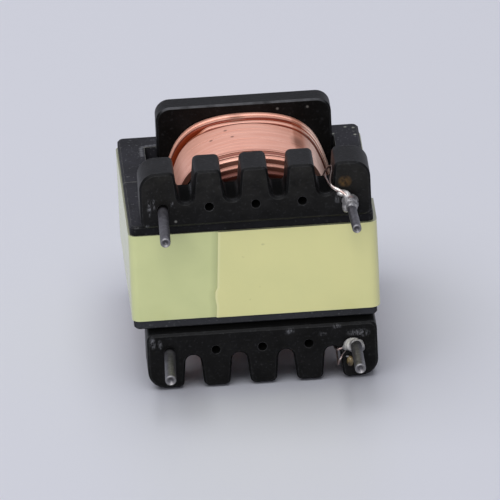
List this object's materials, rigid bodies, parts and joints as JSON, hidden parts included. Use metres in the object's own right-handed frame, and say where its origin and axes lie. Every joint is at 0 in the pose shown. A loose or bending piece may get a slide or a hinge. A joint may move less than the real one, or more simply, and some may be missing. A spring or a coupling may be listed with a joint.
{
  "type": "pcb transformer",
  "caption": "Small ferrite E-core transformer on an upright black bobbin with toothed pin rails, held by a wrap of yellow tape, for through-hole mounting on a circuit board.",
  "frame": {"origin": "the middle of the four pins, at the height of the underside of the two pin rails", "axes": "+Z along the winding's axis, away from the board; X along the two rails; Y from rail to rail"},
  "size_m": [0.0134, 0.0126, 0.0166],
  "materials": {
    "bobbin_phenolic": "moulded phenolic, semi-matt",
    "ferrite": "sintered ferrite, dull dark grey",
    "yellow_tape": "polyester tape, satin, pale yellow-green",
    "enamelled_copper": "copper wire under clear enamel",
    "clear_tape": "clear polyester tape",
    "tinned_pin": "tinned, dull",
    "tinned_strand": "copper strand wetted by solder",
    "bare_strand": "bare copper strand"
  },
  "bodies": {
    "root": {"bobbin": "bobbin_phenolic", "core_lower": "ferrite", "core_upper": "ferrite", "core_tape": "yellow_tape", "primary_winding": "enamelled_copper", "winding_wrap": "clear_tape", "secondary_winding": "enamelled_copper", "pin_front_left": "tinned_pin", "pin_back_left": "tinned_pin", "pin_front_right": "tinned_pin", "pin_back_right": "tinned_pin", "front_lead_strand_1": "tinned_strand", "front_lead_strand_2": "tinned_strand", "back_lead_strand_1": "bare_strand", "back_lead_strand_2": "bare_strand"}
  },
  "joints": []
}
